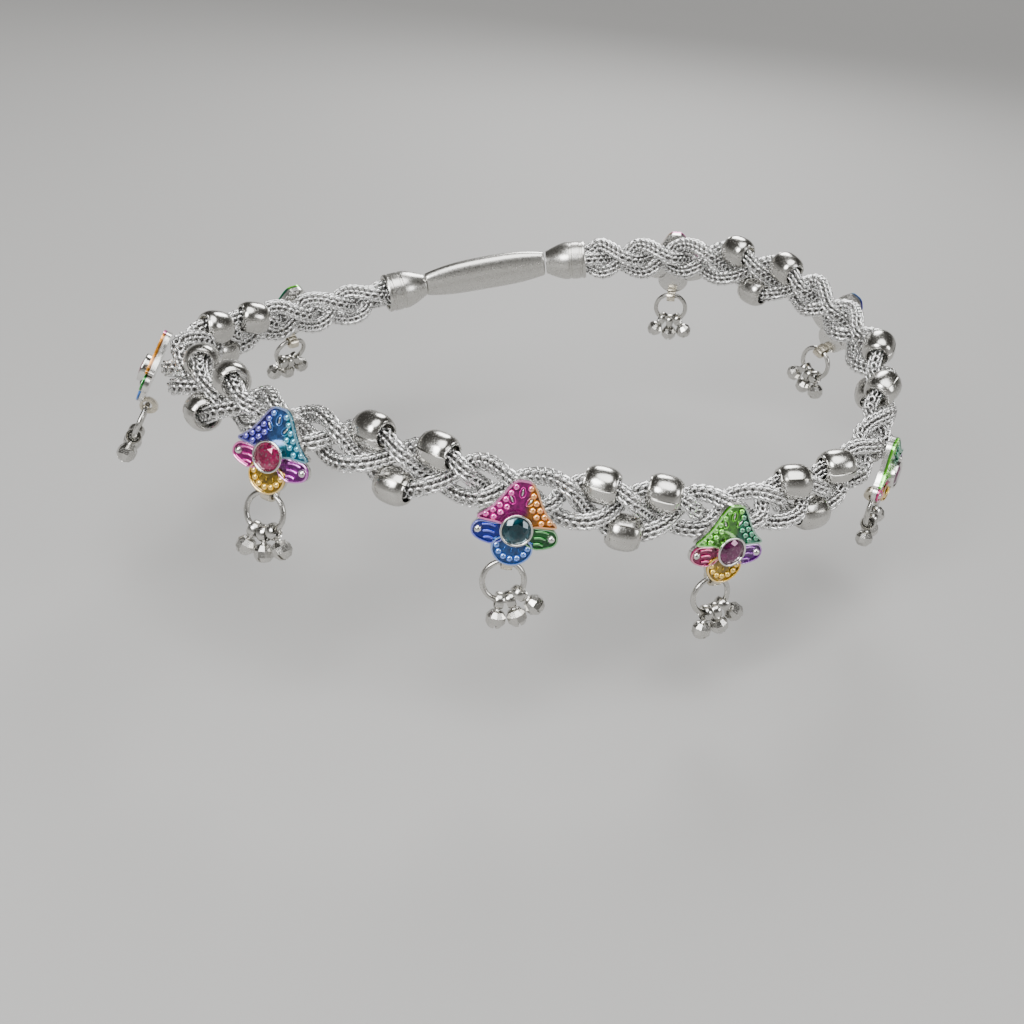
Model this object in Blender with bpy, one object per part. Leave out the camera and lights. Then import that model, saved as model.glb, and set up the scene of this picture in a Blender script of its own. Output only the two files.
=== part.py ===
"""Payal anklet: three woven silver chains in a braid, with beads, enamelled motifs and bells.

Metres, +Z up. The origin is the middle of the ankle that the anklet goes round,
and the front of the anklet faces -Y.
"""

import math

import bmesh
import bpy
import numpy as np
from mathutils import Matrix, Vector

# Loop round the ankle: an oval band, higher behind, that dips twice and leans like the ankle
loop_half_width = 0.0494
loop_half_depth = 0.0307
back_rise = 0.0030
saddle_rise = 0.0046
lean_mean = math.radians(14.5)
lean_swing = math.radians(12.1)
clasp_angle = math.radians(97.4)
loop_samples = 1440

# Gap that every piece keeps to the piece that carries it
seat_gap = 0.0003

# Braid of three strands, in repeats that run from half way between two motifs to the next
motif_count = 8
strand_count = 3
strand_diameter = 0.0018
strand_gap = 0.0003
braid_half_width = 0.0015
braid_bead_swell = 0.0012
braid_half_depth = 0.0016
gather_length = 0.0070
waves_per_repeat = 4 / 3
wave_crowding = 0.25
points_per_repeat = 14
settling_rounds = 240
easing_rounds = 190
easing = 0.05
settling_share = 0.5
settling_reach = 4
bead_push_rows = 1.5

# Beads, three to a repeat: one along the bottom edge between two along the top
bead_diameter = 0.0047
bead_bore = 0.0029
bead_sides = 10
bead_phases = (math.pi, 4 / 3 * math.pi, 5 / 3 * math.pi)
bead_shoulder = 0.62

# Motif plate, measured from the middle of its stone; each hangs its own way on the braid
motif_drop = 0.0031
motif_slides = (0, 0, 0.0004, 0.0004, -0.0018, 0, 0, 0)
motif_turns = (0, 0, 0, -3, 0, 0, 0, 0)
motif_half_width = 0.0052
motif_top = 0.0059
plate_thickness = 0.0010
rim_width = 0.0003
rim_height = 0.00025
petal_side = ((0.20, 1.00), (0.38, 0.87), (0.58, 0.52), (0.84, 0.18))
lobe_radius = 0.0013
lobe_drop = 0.0010
lobe_turns = (10, -50, -110)
shield_radius = 0.0026
shield_drop = 0.0023
shield_turns = (-6, -48, -90)

# Relief cast on the plate
relief_height = 0.0004
relief_root = 0.0001
dot_radius = 0.0004
dot_to_rim = 0.0002
dot_turn = 45
shield_dots = (-25, -68, -112, -155)
rib_half_length = 0.0008
rib_half_width = 0.0005
leaf_half_length = 0.0011
leaf_half_width = 0.00055
leaf_across = 0.0009
leaf_up = 0.0033
leaf_turn = 70

# Stone in its bezel
stone_diameter = 0.0033
stone_sides = 10
stone_crown = 0.0004
stone_table = 0.58
stone_pavilion = 0.00045
stone_gap = 0.0002
bezel_wall = 0.00025
bezel_height = 0.0009
bezel_lip = 0.00025

# Jump ring in the lug behind the foot of the plate
ring_radius = 0.0025
ring_wire = 0.00072
ring_segments = 10
wire_sides = 5
lug_wall = 0.00035
lug_foot = 0.0008
lug_width = 0.0012
lug_bottom = 0.0062
lug_segments = 6

# Ghungroo bells, whose eyes hang on the jump ring
bell_count = 3
bell_slides = (0, 0, 13, 30, 27, 8, 0, 0)
bell_radius = 0.00128
bell_touch = 0.00006
bell_sides = 10
bell_belt = 0.35
eye_wall = 0.0003
eye_width = 0.00065
eye_to_bell = 0.0002

# End caps that gather the strands, and the clasp between them, behind the ankle
cap_grip = 0.0030
cap_wall = 0.0006
cap_back = 0.0035
cap_neck = 0.0018
cap_sides = 10
clasp_length = 0.0200
clasp_half_width = 0.0020
clasp_half_height = 0.0032
clasp_end = 0.7
clasp_sections = 6

# Finishes: the colour and roughness of each silver, and the colours of enamel and stones
chain_silver = ((0.78, 0.78, 0.76), 0.35)
polished_silver = ((0.82, 0.80, 0.76), 0.08)
satin_silver = ((0.80, 0.79, 0.76), 0.25)
enamel_roughness = 0.2
stone_roughness = 0.05
blue, magenta, green = (0.10, 0.25, 0.75), (0.75, 0.10, 0.50), (0.25, 0.55, 0.12)
pink, teal, plum = (0.75, 0.15, 0.40), (0.05, 0.35, 0.45), (0.45, 0.08, 0.35)
enamel_colours = (green, magenta, blue, magenta, green, green, blue, magenta)
stone_colours = (plum, pink, pink, teal, plum, plum, pink, teal)

# Edges sharper than these angles stay sharp; corners closer than the weld distance are one
sharp_angle = math.radians(35)
wire_sharp_angle = math.radians(80)
weld_distance = 1e-7


def loop_point(angle):
    """Middle of the band at an angle round the ankle."""
    return np.array([
        loop_half_width * math.cos(angle),
        loop_half_depth * math.sin(angle),
        back_rise * math.sin(angle) + saddle_rise * math.sin(2 * angle),
    ])


def loop_directions(angle):
    """Directions along, up and out of the leaning band at an angle round the ankle."""
    along = np.array([
        -loop_half_width * math.sin(angle),
        loop_half_depth * math.cos(angle),
        back_rise * math.cos(angle) + 2 * saddle_rise * math.cos(2 * angle),
    ])
    along /= np.linalg.norm(along)
    level = np.cross(along, (0, 0, 1))
    level /= np.linalg.norm(level)
    upright = np.cross(level, along)
    lean = lean_mean - lean_swing * math.cos(angle)
    up = upright * math.cos(lean) - level * math.sin(lean)
    out = level * math.cos(lean) + upright * math.sin(lean)
    return along, up, out


loop_angles = np.linspace(0, 2 * math.pi, loop_samples + 1)
loop_points = np.array([loop_point(angle) for angle in loop_angles])
loop_lengths = np.r_[0, np.cumsum(np.linalg.norm(np.diff(loop_points, axis=0), axis=1))]
loop_length = loop_lengths[-1]

back_length = clasp_length + 2 * (seat_gap + cap_back + cap_grip + seat_gap)
braid_length = loop_length - back_length
repeat_length = braid_length / motif_count
braid_start = np.interp(clasp_angle, loop_angles, loop_lengths) + back_length / 2


def band_point(distance, up_by=0.0, out_by=0.0):
    """Point beside the middle of the band, at a distance along it from the start of the braid."""
    angle = np.interp((braid_start + distance) % loop_length, loop_lengths, loop_angles)
    along, up, out = loop_directions(angle)
    return loop_point(angle) + up * up_by + out * out_by


def band_frame(distance, up_by=0.0, out_by=0.0):
    """Matrix whose X runs along the band, Z up it and -Y out of it."""
    angle = np.interp((braid_start + distance) % loop_length, loop_lengths, loop_angles)
    along, up, out = loop_directions(angle)
    frame = Matrix((along, -out, up)).transposed().to_4x4()
    frame.translation = Vector(band_point(distance, up_by, out_by))
    return frame


def with_halfway(rows):
    """Rows of points with the point half way between each two put between them."""
    fine = np.empty((2 * len(rows) - 1, 3))
    fine[::2] = rows
    fine[1::2] = (rows[1:] + rows[:-1]) / 2
    return fine


def shared_out(moves):
    """Moves of the half-way points given to the points on either side."""
    coarse = moves[::2].copy()
    coarse[:-1] += moves[1::2] / 2
    coarse[1:] += moves[1::2] / 2
    return coarse


def push_off(rows, others, distance):
    """Moves up or out that bring each row to a distance from the point beside it in others."""
    apart = rows - others
    reach = np.maximum(np.linalg.norm(apart, axis=1), weld_distance)
    moves = apart * (np.maximum(distance - reach, 0) / reach)[:, None]
    moves[:, 0] = 0
    return moves


def push_strand(rows, others, distance):
    """Largest move that any nearby point of another strand calls for, for each row."""
    places = np.arange(len(rows))
    largest = np.zeros_like(rows)
    for offset in range(-settling_reach, settling_reach + 1):
        beside = np.clip(places + offset, 0, len(rows) - 1)
        moves = push_off(rows, others[beside], distance)
        further = np.linalg.norm(moves, axis=1) > np.linalg.norm(largest, axis=1)
        largest[further] = moves[further]
    return largest


def woven_strands():
    """Strands as rows of (along, up, out), woven by rule, and how far each row is gathered."""
    steps = np.arange(motif_count * points_per_repeat + 1)
    repeats = steps / points_per_repeat - 0.5
    crowding = wave_crowding / (2 * math.pi) * np.sin(2 * math.pi * repeats)
    phase = 2 * math.pi * waves_per_repeat * (repeats + crowding)
    along = (repeats + 0.5) * repeat_length
    to_end = np.minimum(np.minimum(along, braid_length - along) / gather_length, 1)
    loose = to_end * to_end * (3 - 2 * to_end)
    gathered = (strand_diameter + strand_gap) / math.sqrt(3)
    swell = braid_bead_swell * (1 - np.cos(2 * math.pi * repeats)) / 2
    half_width = (braid_half_width + swell) * loose + gathered * (1 - loose)
    half_depth = braid_half_depth * loose + gathered / math.sin(math.pi / 3) * (1 - loose)
    strands = []
    for number in range(strand_count):
        turn = phase - 2 * math.pi * number / strand_count
        strands.append(np.column_stack([
            along,
            -half_width * np.cos(turn),
            half_depth * math.sin(math.pi / 3) * np.sin(2 * turn),
        ]))
    return np.array(strands), phase, loose


def bead_seats(strands, phase):
    """The strand and the row that carry each bead."""
    seats = []
    for repeat in range(motif_count - 1):
        for bead_phase in bead_phases:
            target = bead_phase + 2 * math.pi * waves_per_repeat * repeat
            row = int(np.abs(phase - target).argmin())
            strand = int(np.abs(strands[:, row, 1]).argmax())
            seats.append((strand, row))
    return seats


def settled_strands():
    """Woven strands pushed clear of each other and of the beads, and the beads' seats."""
    strands, phase, loose = woven_strands()
    seats = bead_seats(strands, phase)
    clear_of_strand = strand_diameter + strand_gap
    clear_of_bead = (bead_diameter + strand_diameter) / 2 + seat_gap
    rows = np.arange(len(phase))
    for settling in range(settling_rounds):
        fine = [with_halfway(strand) for strand in strands]
        moves = np.zeros_like(strands)
        for one in range(strand_count):
            for other in range(strand_count):
                if one != other:
                    push = push_strand(fine[one], fine[other], clear_of_strand)
                    moves[one] += settling_share * shared_out(push)
        for carrier, row in seats:
            beside_bead = np.exp(-((rows - row) / bead_push_rows) ** 2)[:, None]
            for other in range(strand_count):
                if other != carrier:
                    push = push_off(fine[other], strands[carrier, row], clear_of_bead)
                    hardest = push[np.linalg.norm(push, axis=1).argmax()]
                    moves[other] += settling_share * shared_out(push)
                    moves[carrier] -= settling_share * beside_bead * hardest
        strands[:, 1:-1] += moves[:, 1:-1]
        if settling < easing_rounds:
            bends = strands[:, 2:] - 2 * strands[:, 1:-1] + strands[:, :-2]
            strands[:, 1:-1, 1:] += easing * bends[:, :, 1:]
    middle = (strands[:, :, 1].max() + strands[:, :, 1].min()) / 2
    strands[:, :, 1] -= middle * loose
    return strands, seats


def metal(name, colour, roughness):
    """Polished metal, or enamel over metal, in one colour."""
    material = bpy.data.materials.new(name)
    material.use_nodes = True
    shader = material.node_tree.nodes["Principled BSDF"]
    shader.inputs["Base Color"].default_value = (*colour, 1)
    shader.inputs["Metallic"].default_value = 1
    shader.inputs["Roughness"].default_value = roughness
    return material


def glass(name, colour):
    """Coloured stone in one colour."""
    material = metal(name, colour, stone_roughness)
    material.node_tree.nodes["Principled BSDF"].inputs["Metallic"].default_value = 0
    return material


def add_piece(name, data, frame, material):
    """Object of a mesh or curve, placed by a matrix, with its own material."""
    if not data.materials:
        data.materials.append(None)
    piece = bpy.data.objects.new(name, data)
    bpy.context.scene.collection.objects.link(piece)
    piece.matrix_world = frame
    piece.material_slots[0].link = "OBJECT"
    piece.material_slots[0].material = material
    return piece


def shade(mesh, angle=sharp_angle):
    """Smooth shading, except along edges sharper than an angle."""
    mesh.shade_smooth()
    mesh.set_sharp_from_angle(angle=angle)
    return mesh


def mesh_from(name, build):
    """Mesh that a building function makes."""
    shape = bmesh.new()
    build(shape)
    bmesh.ops.recalc_face_normals(shape, faces=shape.faces)
    mesh = bpy.data.meshes.new(name)
    shape.to_mesh(mesh)
    shape.free()
    return shade(mesh)


def fused(name, meshes):
    """One mesh that joins overlapping closed meshes as a solid."""
    pieces = [bpy.data.objects.new(mesh.name, mesh) for mesh in meshes]
    for piece in pieces:
        bpy.context.scene.collection.objects.link(piece)
    for piece in pieces[1:]:
        join = pieces[0].modifiers.new(piece.name, "BOOLEAN")
        join.operation = "UNION"
        join.object = piece
    evaluated = pieces[0].evaluated_get(bpy.context.evaluated_depsgraph_get())
    mesh = bpy.data.meshes.new_from_object(evaluated)
    mesh.name = name
    for piece in pieces:
        bpy.data.objects.remove(piece)
    return shade(mesh)


def bridge_rings(shape, rings, closed):
    """Faces between neighbouring rings of vertices, and from the last to the first if closed."""
    pairs = list(zip(rings, rings[1:]))
    if closed:
        pairs.append((rings[-1], rings[0]))
    for ring, next_ring in pairs:
        for corner in range(len(ring)):
            after = (corner + 1) % len(ring)
            shape.faces.new((ring[corner], ring[after], next_ring[after], next_ring[corner]))


def turn_profile(shape, profile, sides, frame, closed=False):
    """Solid turned round Z from a profile of (radius, height), placed by a matrix.

    A closed profile makes a ring; an open one is capped at both ends."""
    rings = []
    for radius, height in profile:
        ring = []
        for side in range(sides):
            angle = 2 * math.pi * side / sides
            point = Vector((radius * math.cos(angle), radius * math.sin(angle), height))
            ring.append(shape.verts.new(frame @ point))
        rings.append(ring)
    bridge_rings(shape, rings, closed)
    if not closed:
        shape.faces.new(rings[0])
        shape.faces.new(rings[-1])
    bmesh.ops.remove_doubles(shape, verts=shape.verts, dist=weld_distance)


def build_bead(shape):
    """Hollow silver bead as a ball drilled along X."""
    radius = bead_diameter / 2
    mouth = math.sqrt(radius ** 2 - (bead_bore / 2) ** 2)
    profile = []
    for share in (-1, -bead_shoulder, 0, bead_shoulder, 1):
        height = mouth * share
        profile.append((math.sqrt(radius ** 2 - height ** 2), height))
    turn_profile(shape, profile, bead_sides, Matrix.Rotation(math.pi / 2, 4, "Y"), closed=True)


def plate_edge():
    """Edge of the plate as (across, up), round from the right of its top."""
    half = [(across * motif_half_width, up * motif_top) for across, up in petal_side]
    for degrees in lobe_turns:
        turn = math.radians(degrees)
        across = motif_half_width - lobe_radius + lobe_radius * math.cos(turn)
        half.append((across, -lobe_drop + lobe_radius * math.sin(turn)))
    for degrees in shield_turns:
        turn = math.radians(degrees)
        half.append((shield_radius * math.cos(turn), -shield_drop + shield_radius * math.sin(turn)))
    mirrored = [(-across, up) for across, up in reversed(half[:-1])]
    return half + mirrored


def build_plate(shape):
    """Plate of the motif, with a raised rim round a lower floor, facing -Y."""
    back = plate_thickness / 2
    corners = [shape.verts.new((across, back, up)) for across, up in plate_edge()]
    back_face = shape.faces.new(corners)
    front = bmesh.ops.extrude_face_region(shape, geom=[back_face])["geom"]
    front_corners = [item for item in front if isinstance(item, bmesh.types.BMVert)]
    front_face = [item for item in front if isinstance(item, bmesh.types.BMFace)]
    bmesh.ops.translate(shape, verts=front_corners, vec=(0, -plate_thickness, 0))
    bmesh.ops.inset_region(shape, faces=front_face, thickness=rim_width, use_even_offset=True)
    bmesh.ops.translate(shape, verts=front_face[0].verts, vec=(0, rim_height, 0))


def add_stud(shape, across, up, half_length, half_width, degrees):
    """Small pointed relief on the plate's floor, its length turned from across."""
    floor = -plate_thickness / 2 + rim_height
    turn = Matrix.Rotation(math.radians(-degrees), 3, "Y")
    tip = shape.verts.new((across, floor - relief_height, up))
    foot = []
    for side_across, side_up in ((1, 0), (0, 1), (-1, 0), (0, -1)):
        offset = turn @ Vector((side_across * half_length, 0, side_up * half_width))
        foot.append(shape.verts.new((across + offset.x, floor + relief_root, up + offset.z)))
    shape.faces.new(foot)
    for corner in range(4):
        shape.faces.new((foot[corner], foot[(corner + 1) % 4], tip))


def build_relief(shape):
    """Dots, ribs and leaves of the casting."""
    inset = rim_width + dot_to_rim + dot_radius
    for degrees in shield_dots:
        turn = math.radians(degrees)
        across = (shield_radius - inset) * math.cos(turn)
        up = -shield_drop + (shield_radius - inset) * math.sin(turn)
        add_stud(shape, across, up, dot_radius, dot_radius, degrees)
    for side in (1, -1):
        for across, up in petal_side[1:3]:
            dot_across = across * motif_half_width - inset
            dot_up = up * motif_top - inset / 2
            add_stud(shape, side * dot_across, dot_up, dot_radius, dot_radius, dot_turn)
        lobe_across = motif_half_width - lobe_radius
        add_stud(shape, side * (lobe_across + dot_radius), -lobe_drop, dot_radius, dot_radius, 0)
        rib_across = lobe_across - dot_radius - rib_half_length
        add_stud(shape, side * rib_across, -lobe_drop, rib_half_length, rib_half_width, 0)
        leaf_turned = side * leaf_turn
        add_stud(shape, side * leaf_across, leaf_up, leaf_half_length, leaf_half_width, leaf_turned)


def build_bezel(shape):
    """Round collar that holds the stone."""
    inner = stone_diameter / 2 + stone_gap
    outer = inner + bezel_wall
    top = plate_thickness / 2 + bezel_height
    root = plate_thickness / 2 - rim_height - relief_root
    profile = [(inner, root), (outer, root), (outer, top), (inner, top)]
    turn_profile(shape, profile, stone_sides, Matrix.Rotation(math.pi / 2, 4, "X"), closed=True)


def build_lug(shape):
    """Strap behind the foot of the plate, with a hole along X for the jump ring."""
    hole = ring_wire / 2 + seat_gap
    deep = plate_thickness / 2 + hole
    hole_bottom = -lug_bottom + lug_foot
    middle = hole_bottom + hole
    rings = []
    for side in (-1, 1):
        inner, outer = [], []
        for segment in range(lug_segments):
            turn = 2 * math.pi * (segment + 0.5) / lug_segments
            reach = hole / math.cos(math.pi / lug_segments)
            sink, rise = math.sin(turn), math.cos(turn)
            wall = lug_foot if rise < 0 else lug_wall
            across = side * lug_width / 2
            inner.append(shape.verts.new((across, deep + reach * sink, middle + reach * rise)))
            deeper = deep + (reach + lug_wall) * sink
            outer.append(shape.verts.new((across, deeper, middle + (reach + wall) * rise)))
        rings += [inner, outer] if side < 0 else [outer, inner]
    bridge_rings(shape, rings, closed=True)


def build_stone(shape):
    """Round stone with a flat table, a ring of crown facets and a low pavilion."""
    girdle = plate_thickness / 2 + bezel_height - bezel_lip
    radius = stone_diameter / 2
    profile = [
        (0, girdle - stone_pavilion),
        (radius, girdle),
        (radius * stone_table, girdle + stone_crown),
    ]
    turn_profile(shape, profile, stone_sides, Matrix.Rotation(math.pi / 2, 4, "X"))


def ring_hang():
    """Move from the plate's own frame to the middle of the jump ring that hangs in its lug."""
    deep = plate_thickness / 2 + ring_wire / 2 + seat_gap
    wire_top = -lug_bottom + lug_foot + seat_gap + ring_wire / 2
    return Matrix.Translation((0, deep, wire_top - ring_radius))


def build_ring(shape):
    """Jump ring round Y."""
    rings = []
    for segment in range(ring_segments):
        turn = 2 * math.pi * segment / ring_segments
        outward = Vector((math.cos(turn), 0, math.sin(turn)))
        ring = []
        for side in range(wire_sides):
            roll = 2 * math.pi * side / wire_sides
            reach = outward * (ring_radius + ring_wire / 2 * math.cos(roll))
            depth = Vector((0, ring_wire / 2 * math.sin(roll), 0))
            ring.append(shape.verts.new(reach + depth))
        rings.append(ring)
    bridge_rings(shape, rings, closed=True)


def bell_frame(turn):
    """Matrix at the ring's wire whose Z points outward from the ring and Y along the wire."""
    outward = Vector((math.sin(turn), 0, -math.cos(turn)))
    along_wire = Vector((math.cos(turn), 0, math.sin(turn)))
    frame = Matrix((along_wire.cross(outward), along_wire, outward)).transposed().to_4x4()
    frame.translation = outward * ring_radius
    return frame


def ghungroo_meshes():
    """Eye and bell of each ghungroo, overlapping so that they fuse."""
    meshes = []
    eye_inner = ring_wire / 2 + seat_gap
    eye_outer = eye_inner + eye_wall
    bell_middle = eye_outer + eye_to_bell + bell_radius
    half_across = bell_radius * math.cos(math.pi / bell_sides) - bell_touch
    bell_step = 2 * math.asin(half_across / (ring_radius + bell_middle))
    for number in range(bell_count):
        frame = bell_frame((number - (bell_count - 1) / 2) * bell_step)
        round_wire = frame @ Matrix.Rotation(-math.pi / 2, 4, "X")

        def build_eye(shape):
            half = eye_width / 2
            profile = [(eye_inner, -half), (eye_outer, -half), (eye_outer, half), (eye_inner, half)]
            turn_profile(shape, profile, bell_sides, round_wire, closed=True)

        def build_bell(shape):
            profile = [
                (0, eye_inner),
                (bell_radius, bell_middle - bell_radius * bell_belt),
                (bell_radius, bell_middle + bell_radius * bell_belt),
                (0, bell_middle + bell_radius),
            ]
            turn_profile(shape, profile, bell_sides, frame)

        meshes.append(mesh_from("eye", build_eye))
        meshes.append(mesh_from("bell", build_bell))
    return meshes


def cap_radius():
    """Inner radius of an end cap, round the three gathered strands."""
    return (strand_diameter + strand_gap) / math.sqrt(3) + strand_diameter / 2 + seat_gap


def build_cap(shape):
    """Cup whose mouth opens towards -X and takes the ends of the strands."""
    inner = cap_radius()
    outer = inner + cap_wall
    profile = [
        (inner, cap_grip),
        (inner, 0),
        (outer, 0),
        (outer, cap_grip),
        (cap_neck, cap_grip + cap_back),
    ]
    turn_profile(shape, profile, cap_sides, Matrix.Rotation(math.pi / 2, 4, "Y"))


def build_clasp(shape):
    """Plain barrel that follows the back of the band between the end caps."""
    rings = []
    for section in range(clasp_sections):
        share = 2 * section / (clasp_sections - 1) - 1
        fullness = 1 - (1 - clasp_end) * share ** 4
        distance = -back_length / 2 + share * clasp_length / 2
        ring = []
        for side in range(cap_sides):
            angle = 2 * math.pi * side / cap_sides
            up_by = clasp_half_height * fullness * math.sin(angle)
            out_by = clasp_half_width * fullness * math.cos(angle)
            ring.append(shape.verts.new(band_point(distance, up_by, out_by)))
        rings.append(ring)
    bridge_rings(shape, rings, closed=False)
    shape.faces.new(rings[0])
    shape.faces.new(rings[-1])


def strand_curve(name, rows):
    """Tube along one strand, whose ends run straight into the end caps."""
    first, last = rows[0].copy(), rows[-1].copy()
    first[0] -= cap_grip
    last[0] += cap_grip
    path = [band_point(*row) for row in (first, *rows, last)]
    curve = bpy.data.curves.new(name, "CURVE")
    curve.dimensions = "3D"
    curve.bevel_depth = strand_diameter / 2
    curve.bevel_resolution = 2
    curve.use_fill_caps = True
    spline = curve.splines.new("POLY")
    spline.points.add(len(path) - 1)
    for point, place in zip(spline.points, path):
        point.co = (*place, 1)
    return curve


for old_object in list(bpy.data.objects):
    bpy.data.objects.remove(old_object)

strands, seats = settled_strands()

# Strands
for number, rows in enumerate(strands):
    name = f"strand_{number + 1}"
    add_piece(name, strand_curve(name, rows), Matrix.Identity(4), metal(name, *chain_silver))

# Beads, each on the strand that carries it
bead_mesh = mesh_from("bead", build_bead)
half_bead = math.sqrt(bead_diameter ** 2 - bead_bore ** 2) / 2
for number, (carrier, row) in enumerate(seats):
    rows = strands[carrier]
    reach = [np.interp(rows[row, 0] + side * half_bead, rows[:, 0], rows[:, axis])
             for side in (-1, 1) for axis in (1, 2)]
    entry = Vector(band_point(rows[row, 0] - half_bead, reach[0], reach[1]))
    leave = Vector(band_point(rows[row, 0] + half_bead, reach[2], reach[3]))
    top = Vector(band_point(*rows[row]))
    frame = (leave - entry).to_track_quat("X", "Z").to_matrix().to_4x4()
    frame.translation = (entry + leave) / 4 + top / 2
    name = f"bead_{number + 1:02d}"
    add_piece(name, bead_mesh, frame, metal(name, *polished_silver))

# Motifs with their stones, rings and bells
plate_mesh = fused("motif", [
    mesh_from("plate", build_plate),
    mesh_from("relief", build_relief),
    mesh_from("bezel", build_bezel),
    mesh_from("lug", build_lug),
])
stone_mesh = mesh_from("stone", build_stone)
ring_mesh = shade(mesh_from("jump_ring", build_ring), wire_sharp_angle)
bells_mesh = fused("ghungroo", ghungroo_meshes())
for number in range(motif_count):
    middle = (number + 1 / 2) * repeat_length + motif_slides[number % len(motif_slides)]
    under = np.abs(strands[0][:, 0] - middle) < motif_half_width
    seat = strands[:, under, 2].max() + strand_diameter / 2 + seat_gap + plate_thickness / 2
    turn = math.radians(motif_turns[number % len(motif_turns)])
    frame = band_frame(middle, -motif_drop, seat) @ Matrix.Rotation(turn, 4, "Y")
    colour = enamel_colours[number % len(enamel_colours)]
    enamel = metal(f"motif_{number + 1}", colour, enamel_roughness)
    add_piece(f"motif_{number + 1}", plate_mesh, frame, enamel)
    colour = stone_colours[number % len(stone_colours)]
    add_piece(f"stone_{number + 1}", stone_mesh, frame, glass(f"stone_{number + 1}", colour))
    silver = metal(f"jump_ring_{number + 1}", *polished_silver)
    hang = frame @ ring_hang()
    slide = Matrix.Rotation(math.radians(-bell_slides[number % len(bell_slides)]), 4, "Y")
    add_piece(f"jump_ring_{number + 1}", ring_mesh, hang, silver)
    add_piece(f"ghungroo_{number + 1}", bells_mesh, hang @ slide, silver)

# End caps and clasp
cap_mesh = mesh_from("end_cap", build_cap)
cap_silver = metal("end_cap", *satin_silver)
after_braid = band_frame(braid_length + seat_gap)
before_braid = band_frame(-seat_gap) @ Matrix.Rotation(math.pi, 4, "Z")
add_piece("end_cap_1", cap_mesh, before_braid, cap_silver)
add_piece("end_cap_2", cap_mesh, after_braid, cap_silver)
clasp_silver = metal("clasp", *satin_silver)
add_piece("clasp", mesh_from("clasp", build_clasp), Matrix.Identity(4), clasp_silver)
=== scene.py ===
"""Payal anklet: braided foxtail chains with beads, enamelled motifs, cut stones and small bells."""

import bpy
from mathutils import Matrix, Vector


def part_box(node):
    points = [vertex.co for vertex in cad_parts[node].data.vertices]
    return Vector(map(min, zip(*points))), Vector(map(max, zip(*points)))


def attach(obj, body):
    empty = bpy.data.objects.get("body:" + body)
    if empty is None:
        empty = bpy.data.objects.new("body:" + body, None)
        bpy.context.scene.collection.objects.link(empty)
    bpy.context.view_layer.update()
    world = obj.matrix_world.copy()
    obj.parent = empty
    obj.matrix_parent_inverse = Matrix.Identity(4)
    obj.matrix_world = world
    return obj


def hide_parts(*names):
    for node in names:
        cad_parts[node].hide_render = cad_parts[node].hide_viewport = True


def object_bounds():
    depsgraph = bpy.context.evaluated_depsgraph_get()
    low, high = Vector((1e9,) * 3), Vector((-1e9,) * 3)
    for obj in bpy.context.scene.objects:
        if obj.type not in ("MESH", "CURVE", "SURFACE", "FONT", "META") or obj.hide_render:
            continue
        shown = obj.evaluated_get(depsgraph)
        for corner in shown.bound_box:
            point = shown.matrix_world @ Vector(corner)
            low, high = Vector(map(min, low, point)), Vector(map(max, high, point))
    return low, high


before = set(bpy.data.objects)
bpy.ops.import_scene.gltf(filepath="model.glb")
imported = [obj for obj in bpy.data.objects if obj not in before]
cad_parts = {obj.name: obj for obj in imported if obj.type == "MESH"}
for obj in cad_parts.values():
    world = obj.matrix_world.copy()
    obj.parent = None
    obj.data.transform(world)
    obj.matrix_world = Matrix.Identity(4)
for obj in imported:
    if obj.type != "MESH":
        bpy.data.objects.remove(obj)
cad_box = [list(corner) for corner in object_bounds()]

import math

import bmesh
import bpy
import numpy as np
from mathutils import Matrix, Vector

# Camera, floor and studio light. The anklet is seen from its front and above, as worn, and is
# lit by large soft lights over a plain pale floor that lies a little under its bells.
view_turn = math.radians(-8.03)
view_drop = math.radians(34.22)
view_roll = math.radians(-4.71)
view_place = Vector((-0.02087, -0.12777, 0.06248))
image_pixels = 1024
focal_pixels = 1000
nearest_seen = 0.002

bpy.ops.object.select_all(action="DESELECT")
bpy.ops.object.camera_add()
camera = bpy.context.object
camera.data.lens = camera.data.sensor_width * focal_pixels / image_pixels
camera.data.clip_start = nearest_seen
forward = Vector((
    -math.sin(view_turn) * math.cos(view_drop),
    math.cos(view_turn) * math.cos(view_drop),
    -math.sin(view_drop),
))
level = Vector((math.cos(view_turn), math.sin(view_turn), 0))
below = forward.cross(level)
right = level * math.cos(view_roll) + below * math.sin(view_roll)
down = below * math.cos(view_roll) - level * math.sin(view_roll)
camera.matrix_world = Matrix((right, -down, -forward)).transposed().to_4x4()
camera.location = view_place
bpy.context.scene.camera = camera

floor_size = 16
floor_below_bells = 0.010


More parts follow.
